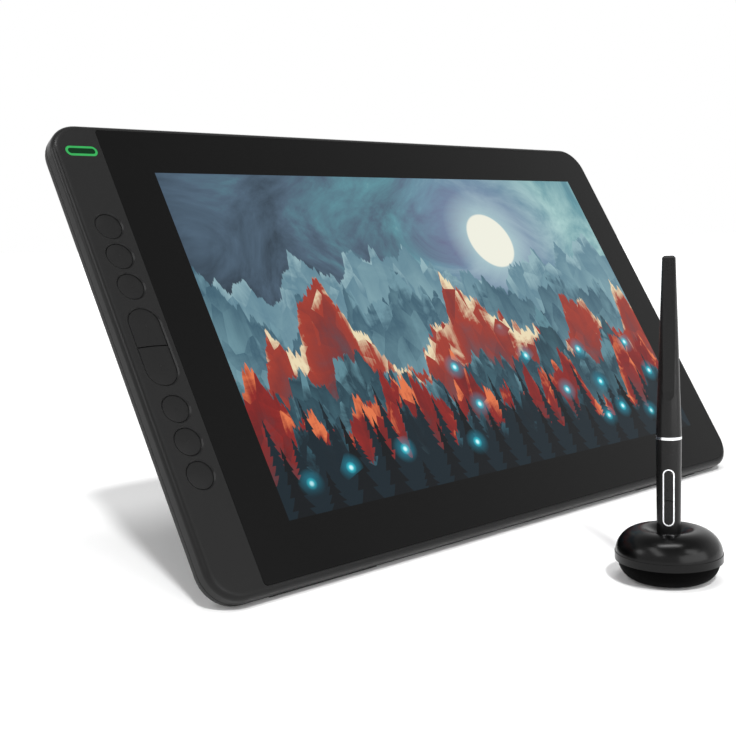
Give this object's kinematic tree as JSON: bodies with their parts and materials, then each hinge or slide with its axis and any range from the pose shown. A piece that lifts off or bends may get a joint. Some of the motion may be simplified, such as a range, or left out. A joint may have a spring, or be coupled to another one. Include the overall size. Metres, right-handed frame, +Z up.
{
  "type": "graphics tablet with screen",
  "caption": "Pen display tablet leaning on a folding kickstand, with a key strip beside its lit screen, and a pen standing in a round weighted pen stand.",
  "frame": {"origin": "on the desk, under the middle of the whole set's outline", "axes": "+X to the user's right along the tablet's lower edge, +Y away from the user, +Z up"},
  "size_m": [0.382, 0.2444, 0.1981],
  "materials": {
    "frame_plastic": "fine matt texture",
    "key_plastic": "satin",
    "cover_plastic": "fine matt texture",
    "cover_glass": "anti-glare etched",
    "screen": "lit picture behind a polariser film",
    "light_guide": "clear moulded",
    "circuit_board": "solder mask",
    "sheet_steel": "rolled sheet",
    "turned_steel": "turned",
    "light_lens": "lit green diffuser",
    "light_mask": "dark translucent",
    "switch_plastic": "moulded",
    "soft_rubber": "moulded matt",
    "kickstand_paint": "matt powder coat",
    "pen_plastic": "soft touch",
    "pen_dark": "satin",
    "bright_trim": "plated",
    "nib_plastic": "moulded",
    "coil_copper": "wound wire",
    "stand_gloss": "polished",
    "stand_matt": "fine matt texture"
  },
  "bodies": {
    "tablet": {"front_frame": "frame_plastic", "cover_glass": "cover_glass", "screen_panel": "screen", "backlight": "light_guide", "pen_sensor_board": "circuit_board", "shield_plate": "sheet_steel", "panel_screws": "turned_steel", "key_board": "circuit_board", "dome_switches": "sheet_steel", "status_light": "light_lens", "status_light_mask": "light_mask", "main_board": "circuit_board", "cable_sockets": "sheet_steel", "power_switch": "switch_plastic", "rear_cover": "cover_plastic", "cover_screws": "turned_steel", "lower_feet": "soft_rubber", "back_pads": "soft_rubber", "hinge_brackets": "sheet_steel", "hinge_pins": "turned_steel"},
    "key_upper_1": {"key_upper_1": "key_plastic"},
    "key_upper_2": {"key_upper_2": "key_plastic"},
    "key_upper_3": {"key_upper_3": "key_plastic"},
    "key_pill_upper": {"key_pill_upper": "key_plastic"},
    "key_pill_lower": {"key_pill_lower": "key_plastic"},
    "key_lower_1": {"key_lower_1": "key_plastic"},
    "key_lower_2": {"key_lower_2": "key_plastic"},
    "key_lower_3": {"key_lower_3": "key_plastic"},
    "power_button": {"power_button": "key_plastic"},
    "kickstand": {"kickstand": "kickstand_paint", "kickstand_foot": "soft_rubber"},
    "pen_stand": {"stand_base": "stand_matt", "stand_weight": "turned_steel", "stand_pad": "soft_rubber", "nib_tray": "stand_matt", "spare_nibs": "nib_plastic"},
    "stand_top": {"stand_top": "stand_gloss"},
    "pen": {"pen_grip": "pen_plastic", "pen_rear_barrel": "pen_plastic", "pen_ring": "bright_trim", "pen_tail_cap": "pen_plastic", "pen_tail_inlay": "pen_dark", "pen_button_surround": "bright_trim", "pen_coil": "coil_copper", "pen_board": "circuit_board"},
    "pen_button_upper": {"pen_button_upper": "pen_dark"},
    "pen_button_lower": {"pen_button_lower": "pen_dark"},
    "pen_nib": {"pen_nib": "nib_plastic"}
  },
  "joints": [
    {"name": "key_upper_1_press", "type": "slide", "parent": "tablet", "child": "key_upper_1", "axis": [0, 0.8572, -0.515], "range_m": [0, 0.0005], "stiffness_N_per_m": 800},
    {"name": "key_upper_2_press", "type": "slide", "parent": "tablet", "child": "key_upper_2", "axis": [0, 0.8572, -0.515], "range_m": [0, 0.0005], "stiffness_N_per_m": 800},
    {"name": "key_upper_3_press", "type": "slide", "parent": "tablet", "child": "key_upper_3", "axis": [0, 0.8572, -0.515], "range_m": [0, 0.0005], "stiffness_N_per_m": 800},
    {"name": "key_pill_upper_press", "type": "slide", "parent": "tablet", "child": "key_pill_upper", "axis": [0, 0.8572, -0.515], "range_m": [0, 0.0005], "stiffness_N_per_m": 800},
    {"name": "key_pill_lower_press", "type": "slide", "parent": "tablet", "child": "key_pill_lower", "axis": [0, 0.8572, -0.515], "range_m": [0, 0.0005], "stiffness_N_per_m": 800},
    {"name": "key_lower_1_press", "type": "slide", "parent": "tablet", "child": "key_lower_1", "axis": [0, 0.8572, -0.515], "range_m": [0, 0.0005], "stiffness_N_per_m": 800},
    {"name": "key_lower_2_press", "type": "slide", "parent": "tablet", "child": "key_lower_2", "axis": [0, 0.8572, -0.515], "range_m": [0, 0.0005], "stiffness_N_per_m": 800},
    {"name": "key_lower_3_press", "type": "slide", "parent": "tablet", "child": "key_lower_3", "axis": [0, 0.8572, -0.515], "range_m": [0, 0.0005], "stiffness_N_per_m": 800},
    {"name": "power_button_press", "type": "slide", "parent": "tablet", "child": "power_button", "axis": [0, -0.515, -0.8572], "range_m": [0, 0.0005], "stiffness_N_per_m": 800},
    {"name": "kickstand_fold", "type": "hinge", "parent": "tablet", "child": "kickstand", "pos_m": [0, 0.07714, 0.12004], "axis": [1, 0, 0], "range_deg": [-48, 0]},
    {"name": "pen_stand_lift", "type": "slide", "parent": "tablet", "child": "pen_stand", "axis": [0, 0, 1], "range_m": [0, 0.1]},
    {"name": "stand_top_lift", "type": "slide", "parent": "pen_stand", "child": "stand_top", "axis": [0, 0, 1], "range_m": [0, 0.04]},
    {"name": "pen_lift", "type": "slide", "parent": "stand_top", "child": "pen", "axis": [0, 0, 1], "range_m": [0, 0.05]},
    {"name": "pen_button_upper_press", "type": "slide", "parent": "pen", "child": "pen_button_upper", "axis": [0.848, 0.5299, 0], "range_m": [0, 0.0004], "stiffness_N_per_m": 800},
    {"name": "pen_button_lower_press", "type": "slide", "parent": "pen", "child": "pen_button_lower", "axis": [0.848, 0.5299, 0], "range_m": [0, 0.0004], "stiffness_N_per_m": 800},
    {"name": "pen_nib_press", "type": "slide", "parent": "pen", "child": "pen_nib", "axis": [0, 0, 1], "range_m": [0, 0.0005], "stiffness_N_per_m": 800}
  ]
}
